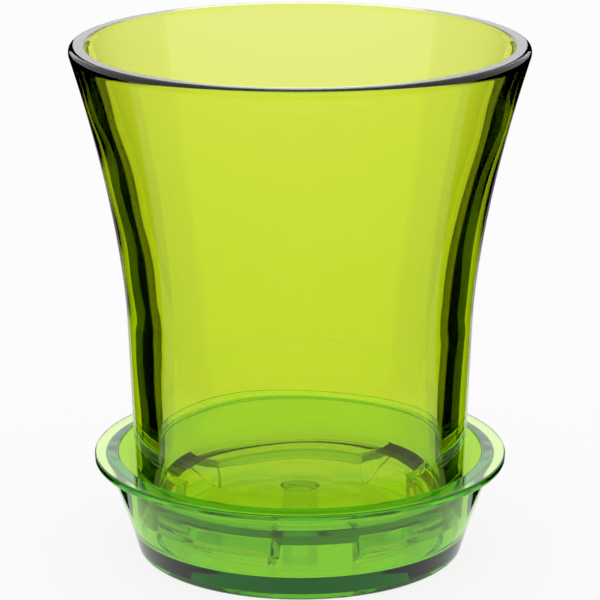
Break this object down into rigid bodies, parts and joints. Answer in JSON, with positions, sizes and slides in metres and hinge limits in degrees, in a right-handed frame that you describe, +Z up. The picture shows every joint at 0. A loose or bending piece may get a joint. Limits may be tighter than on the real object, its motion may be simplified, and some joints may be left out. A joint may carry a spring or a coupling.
{
  "type": "flower pot with saucer",
  "caption": "Transparent green flared pot with a rounded rim, raised floor and notched foot ring, standing loose in a shallow flanged drip saucer.",
  "frame": {"origin": "centre of the saucer's underside, on the surface it stands on", "axes": "+Z up along the axis of both turned pieces, -Y to the front where one drain notch points, +X to the right"},
  "size_m": [0.132, 0.132, 0.1512],
  "materials": {
    "green_clear_plastic": "transparent dyed moulded plastic, polished, with faint moulding marks"
  },
  "bodies": {
    "saucer": {"saucer": "green_clear_plastic"},
    "pot": {"pot": "green_clear_plastic"}
  },
  "joints": [
    {"name": "pot_lift", "type": "slide", "parent": "saucer", "child": "pot", "axis": [0, 0, 1], "range_m": [0, 0.04]}
  ]
}
